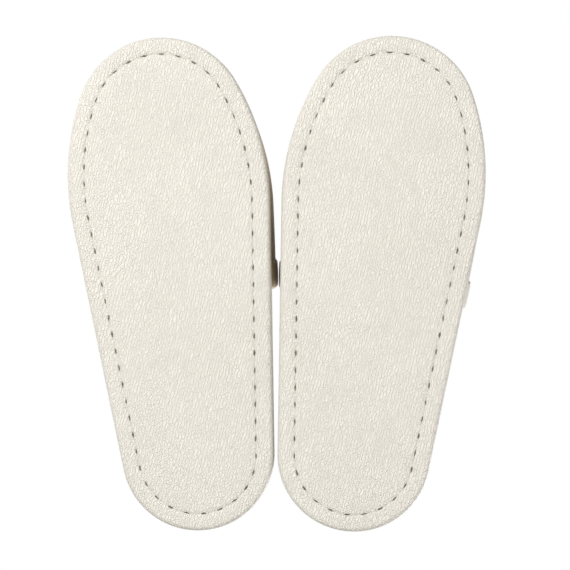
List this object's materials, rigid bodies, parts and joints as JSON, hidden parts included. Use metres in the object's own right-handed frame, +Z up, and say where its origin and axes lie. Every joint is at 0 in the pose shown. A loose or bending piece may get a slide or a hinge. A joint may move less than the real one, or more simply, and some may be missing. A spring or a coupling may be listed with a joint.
{
  "type": "spa slippers",
  "caption": "Flat closed-toe slip-on spa slippers in cream synthetic leather, open at the heel, with a stitched edge strip round each sole and a padded, bound upper.",
  "frame": {"origin": "centre of the pair's footprint, on the floor under the soles", "axes": "+Z up from the floor, +Y towards the toes, +X towards the wearer's right, so the right slipper lies on the +X side"},
  "size_m": [0.2278, 0.2684, 0.0675],
  "materials": {
    "sole_leather": "matte pebbled synthetic leather",
    "upper_leather": "matte pebbled synthetic leather",
    "trim_leather": "satin synthetic leather",
    "foam": "matte closed-cell foam",
    "board": "matte pressed fibre board",
    "lining_fabric": "matte knitted fabric",
    "thread": "matte twisted thread"
  },
  "bodies": {
    "left_slipper": {"left_tread_panel": "sole_leather", "left_edge_strip": "sole_leather", "left_sole_seam_thread": "thread", "left_midsole_foam": "foam", "left_insole_board": "board", "left_insole_pad": "foam", "left_insole_cover": "lining_fabric", "left_upper_shell": "upper_leather", "left_upper_padding": "foam", "left_upper_lining": "lining_fabric", "left_throat_binding": "trim_leather", "left_throat_seam_thread": "thread"},
    "right_slipper": {"right_tread_panel": "sole_leather", "right_edge_strip": "sole_leather", "right_sole_seam_thread": "thread", "right_midsole_foam": "foam", "right_insole_board": "board", "right_insole_pad": "foam", "right_insole_cover": "lining_fabric", "right_upper_shell": "upper_leather", "right_upper_padding": "foam", "right_upper_lining": "lining_fabric", "right_throat_binding": "trim_leather", "right_throat_seam_thread": "thread"}
  },
  "joints": [
    {"name": "right_slipper_lift", "type": "slide", "parent": "left_slipper", "child": "right_slipper", "axis": [0, 0, 1], "range_m": [0, 0.12]}
  ]
}
